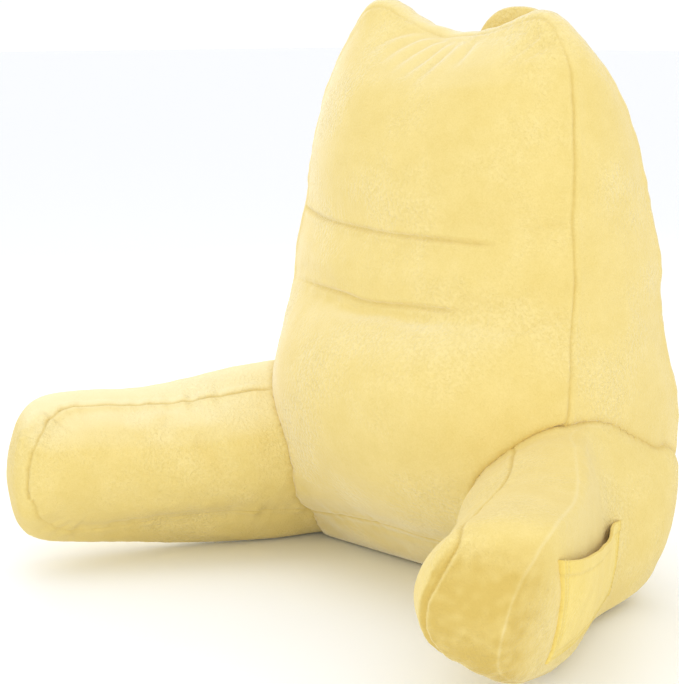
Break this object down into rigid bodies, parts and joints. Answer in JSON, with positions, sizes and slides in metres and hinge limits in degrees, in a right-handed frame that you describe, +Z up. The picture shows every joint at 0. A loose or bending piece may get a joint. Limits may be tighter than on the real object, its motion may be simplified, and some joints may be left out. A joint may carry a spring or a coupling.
{
  "type": "reading pillow",
  "caption": "Backrest reading pillow: a wedge-shaped padded back between two curved padded arms, with side pockets on the arms and a carry handle behind the top seam.",
  "frame": {"origin": "centre of the bounding box on the surface the pillow rests on", "axes": "+Z up, -Y towards the open front between the arms, +X to the right of someone facing the pillow"},
  "size_m": [0.7188, 0.4939, 0.5863],
  "materials": {
    "plush": "pale yellow short-pile plush, matt, with a faint nap"
  },
  "bodies": {
    "root": {"backrest": "plush", "arm_right": "plush", "arm_left": "plush", "phone_pocket": "plush", "tablet_pocket": "plush", "handle": "plush"}
  },
  "joints": []
}
